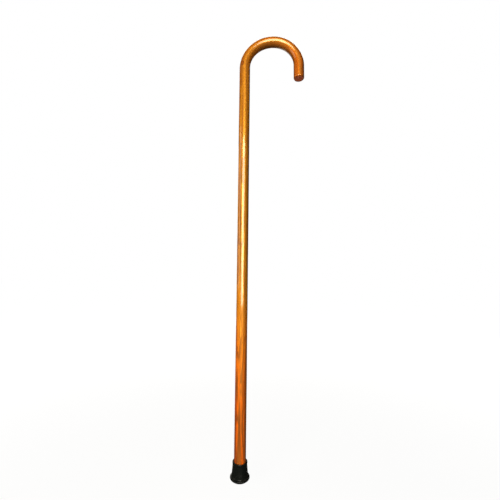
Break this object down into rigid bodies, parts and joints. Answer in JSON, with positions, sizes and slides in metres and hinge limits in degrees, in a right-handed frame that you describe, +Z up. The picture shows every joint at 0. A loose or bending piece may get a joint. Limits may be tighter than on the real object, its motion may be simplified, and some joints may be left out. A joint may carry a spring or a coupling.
{
  "type": "walking cane",
  "caption": "Crook-handled walking cane: one steam-bent round hardwood stick with a flanged rubber ferrule on its foot.",
  "frame": {"origin": "middle of the ferrule's sole, on the floor", "axes": "+Z up along the straight shaft; the crook opens towards +X; the cane lies in the plane Y = 0"},
  "size_m": [0.1493, 0.0376, 0.914],
  "materials": {
    "varnished_wood": "amber-brown hardwood under a glossy clear varnish, darker towards the foot",
    "black_rubber": "moulded black rubber, satin, slightly dusty",
    "plated_steel": "zinc-plated sheet steel"
  },
  "bodies": {
    "stick": {"cane_stick": "varnished_wood"},
    "ferrule": {"rubber_ferrule": "black_rubber", "ferrule_washer": "plated_steel"}
  },
  "joints": [
    {"name": "ferrule_pull", "type": "slide", "parent": "stick", "child": "ferrule", "axis": [0, 0, -1], "range_m": [0, 0.04]}
  ]
}
